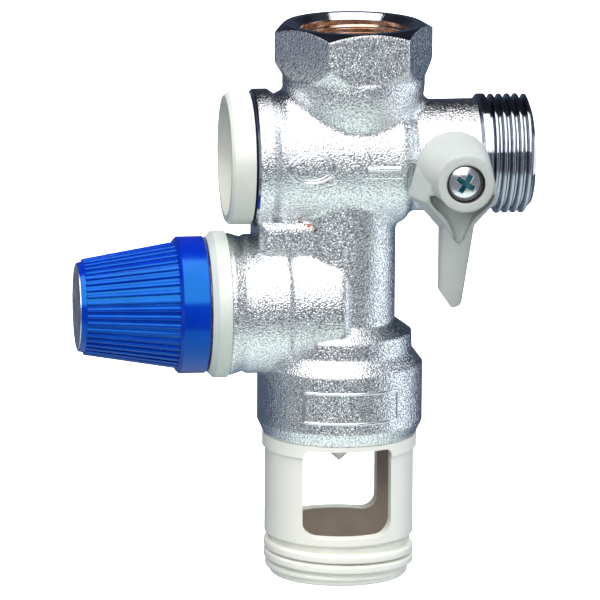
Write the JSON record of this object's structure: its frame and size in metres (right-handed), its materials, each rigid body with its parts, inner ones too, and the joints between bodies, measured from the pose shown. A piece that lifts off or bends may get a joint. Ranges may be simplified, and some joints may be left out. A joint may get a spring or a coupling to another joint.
{
  "type": "water heater safety group",
  "caption": "Plated safety group for a storage water heater: shut-off lever, check valve, relief valve with test knob, tank and inlet threads and a windowed tundish.",
  "frame": {"origin": "centre of the tank port's mouth, on its top face", "axes": "+Z out of the tank port, +X out of the cold inlet, -Y towards the lever and the viewer"},
  "size_m": [0.1005, 0.0522, 0.1235],
  "materials": {
    "plated_casting": "sand-blasted casting, nickel and chrome plated",
    "brass": "turned brass",
    "chromed_brass": "polished chromed brass",
    "seat_plastic": "white sealing plastic",
    "rubber": "black rubber",
    "blue_rubber": "blue rubber",
    "lever_plastic": "light warm grey moulded plastic",
    "screw_steel": "zinc plated steel",
    "spring_steel": "spring steel wire",
    "valve_plastic": "black acetal",
    "cream_plastic": "cream moulded plastic",
    "collar_plastic": "light grey moulded plastic",
    "blue_plastic": "royal blue moulded plastic",
    "silver_foil": "bare silver foil"
  },
  "bodies": {
    "casing": {"body_casting": "plated_casting", "ball_seat_inner": "seat_plastic", "ball_seat_outer": "seat_plastic", "ball_retainer_ring": "brass", "stem_washer": "seat_plastic", "check_valve_cage": "valve_plastic", "check_valve_guide": "valve_plastic", "check_valve_o_ring": "rubber", "check_valve_spring": "spring_steel", "inspection_plug": "cream_plastic", "plug_o_ring": "blue_rubber", "relief_bonnet": "brass", "bonnet_collar": "collar_plastic", "spring_adjuster": "brass", "relief_diaphragm": "rubber", "relief_spring": "spring_steel", "tundish": "cream_plastic", "drip_nozzle": "cream_plastic"},
    "lever_body": {"lever": "lever_plastic", "lever_stem": "brass", "lever_screw": "screw_steel", "shutoff_ball": "chromed_brass", "stem_o_rings": "rubber"},
    "poppet": {"check_valve_poppet": "valve_plastic", "check_valve_seal": "rubber"},
    "spindle": {"relief_spindle": "brass", "relief_disc": "brass", "relief_seal": "rubber", "spring_plate": "brass", "knob_screw": "screw_steel"},
    "knob": {"relief_knob": "blue_plastic", "knob_end_disc": "silver_foil"}
  },
  "joints": [
    {"name": "lever_turn", "type": "hinge", "parent": "casing", "child": "lever_body", "pos_m": [0.02, 0, -0.0297], "axis": [0, 1, 0], "range_deg": [0, 90]},
    {"name": "check_lift", "type": "slide", "parent": "casing", "child": "poppet", "axis": [-1, 0, 0], "range_m": [0, 0.0035], "stiffness_N_per_m": 20, "springref_m": -0.001, "deforming": ["check_valve_spring"]},
    {"name": "relief_lift", "type": "slide", "parent": "casing", "child": "spindle", "axis": [-1, 0, 0], "range_m": [0, 0.0016], "stiffness_N_per_m": 60, "springref_m": -0.001, "deforming": ["relief_spring", "relief_diaphragm"]},
    {"name": "knob_turn", "type": "hinge", "parent": "spindle", "child": "knob", "pos_m": [-0.05, 0, -0.0624], "axis": [-1, 0, 0], "range_deg": [0, 80]}
  ],
  "couplings": [
    {"joint": "knob_turn", "follows": "relief_lift", "rad_per_m": 872.66}
  ]
}
